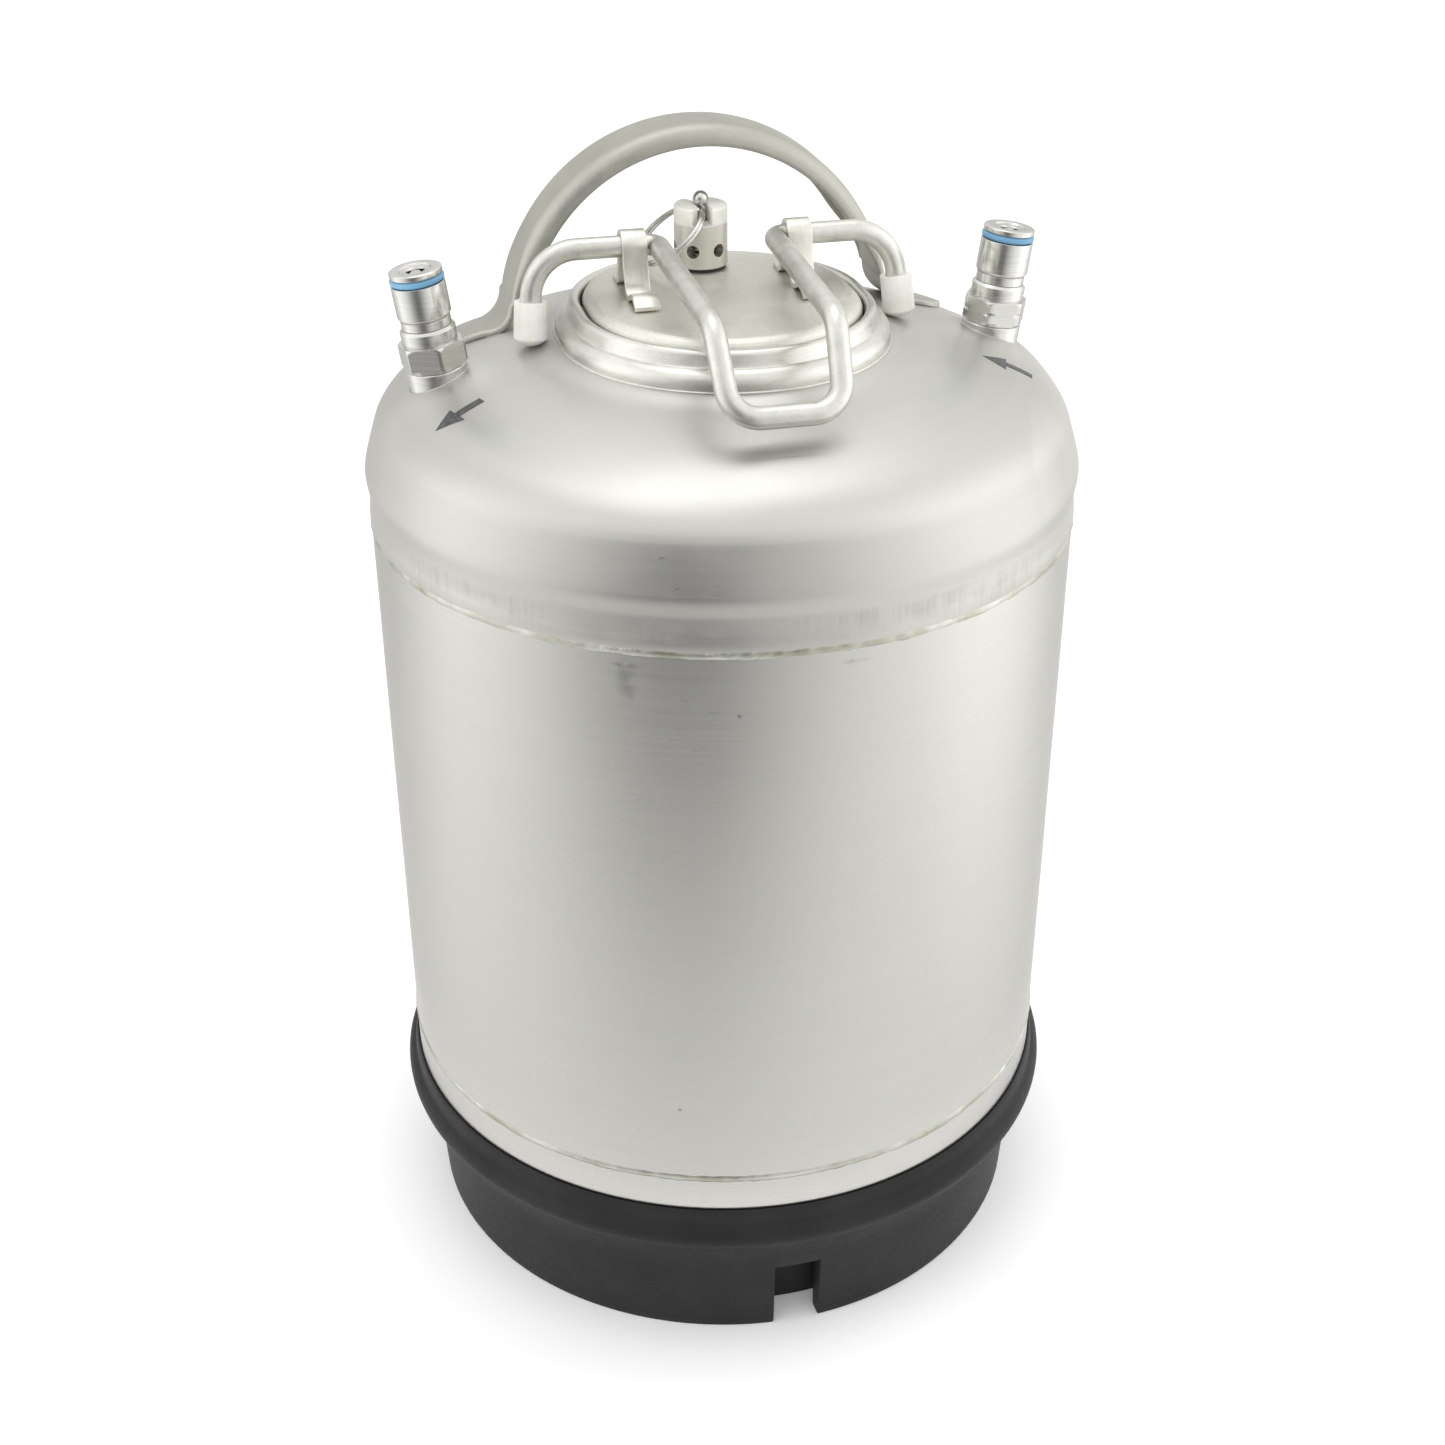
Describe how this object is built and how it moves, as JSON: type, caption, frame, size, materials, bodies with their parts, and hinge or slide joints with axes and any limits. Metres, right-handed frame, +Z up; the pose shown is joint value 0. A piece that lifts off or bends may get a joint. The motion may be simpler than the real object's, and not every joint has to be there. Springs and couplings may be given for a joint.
{
  "type": "small stainless beer keg",
  "caption": "Upright stainless keg with an oval sealing hatch, wire bail, relief valve, two quick-connect posts, strap handle and rubber boot.",
  "frame": {"origin": "centre of the boot's underside, on the surface the keg stands on", "axes": "+Z up the keg's axis, +X towards the gas post, -Y towards the free end of the bail, handle on the +Y side"},
  "size_m": [0.2246, 0.2246, 0.3593],
  "materials": {
    "shell_steel": "satin brushed around the axis",
    "weld_steel": "rough rippled weld",
    "handle_steel": "fine satin",
    "lid_steel": "satin",
    "bail_steel": "drawn wire, satin",
    "post_steel": "turned and polished",
    "tube_steel": "smooth drawn tube",
    "spring_steel": "bright wire",
    "boot_rubber": "matte moulded",
    "seal_rubber": "smooth",
    "blue_rubber": "smooth",
    "nylon": "translucent white moulding",
    "label_film": "printed mark"
  },
  "bodies": {
    "keg": {"shell_cylinder": "shell_steel", "top_dome": "shell_steel", "bottom_dome": "shell_steel", "top_weld_bead": "weld_steel", "bottom_weld_bead": "weld_steel", "neck_ring": "shell_steel", "rubber_boot": "boot_rubber", "strap_handle": "handle_steel", "liquid_post_plug": "post_steel", "gas_post_plug": "post_steel", "liquid_post": "post_steel", "gas_post": "post_steel", "liquid_post_oring": "blue_rubber", "gas_post_oring": "blue_rubber", "liquid_dip_tube": "tube_steel", "gas_dip_tube": "tube_steel", "liquid_dip_oring": "seal_rubber", "gas_dip_oring": "seal_rubber", "liquid_spring": "spring_steel", "gas_spring": "spring_steel", "out_label": "label_film", "in_label": "label_film"},
    "liquid_poppet": {"liquid_poppet": "post_steel", "liquid_poppet_seal": "seal_rubber"},
    "gas_poppet": {"gas_poppet": "post_steel", "gas_poppet_seal": "seal_rubber"},
    "lid": {"lid_plate": "lid_steel", "lid_oring": "seal_rubber", "left_bracket": "lid_steel", "right_bracket": "lid_steel", "prv_bung": "lid_steel", "prv_body": "post_steel", "prv_gasket": "seal_rubber", "prv_cap": "nylon", "prv_spring": "spring_steel"},
    "bail": {"bail_wire": "bail_steel", "left_bail_foot": "nylon", "right_bail_foot": "nylon"},
    "prv_stem": {"prv_stem": "post_steel", "prv_seal": "seal_rubber"},
    "prv_ring": {"pull_ring": "post_steel"}
  },
  "joints": [
    {"name": "bail_open", "type": "hinge", "parent": "lid", "child": "bail", "pos_m": [0, 0.008, 0.33], "axis": [-1, 0, 0], "range_deg": [0, 95]},
    {"name": "lid_drop", "type": "slide", "parent": "keg", "child": "lid", "axis": [0, 0, -1], "range_m": [0, 0.0045]},
    {"name": "prv_lift", "type": "slide", "parent": "lid", "child": "prv_stem", "axis": [0, 0, 1], "range_m": [0, 0.0025], "stiffness_N_per_m": 600, "springref_m": -0.005, "deforming": ["prv_spring"]},
    {"name": "ring_swing", "type": "hinge", "parent": "prv_stem", "child": "prv_ring", "pos_m": [0, 0.027, 0.3345], "axis": [0, 1, 0], "range_deg": [0, 55]},
    {"name": "liquid_poppet_press", "type": "slide", "parent": "keg", "child": "liquid_poppet", "axis": [0.1323, 0, -0.9912], "range_m": [0, 0.003], "stiffness_N_per_m": 400, "springref_m": -0.004, "deforming": ["liquid_spring"]},
    {"name": "gas_poppet_press", "type": "slide", "parent": "keg", "child": "gas_poppet", "axis": [-0.1323, 0, -0.9912], "range_m": [0, 0.003], "stiffness_N_per_m": 400, "springref_m": -0.004, "deforming": ["gas_spring"]}
  ],
  "couplings": [
    {"joint": "lid_drop", "follows": "bail_open", "m_per_rad": 0.0026}
  ]
}
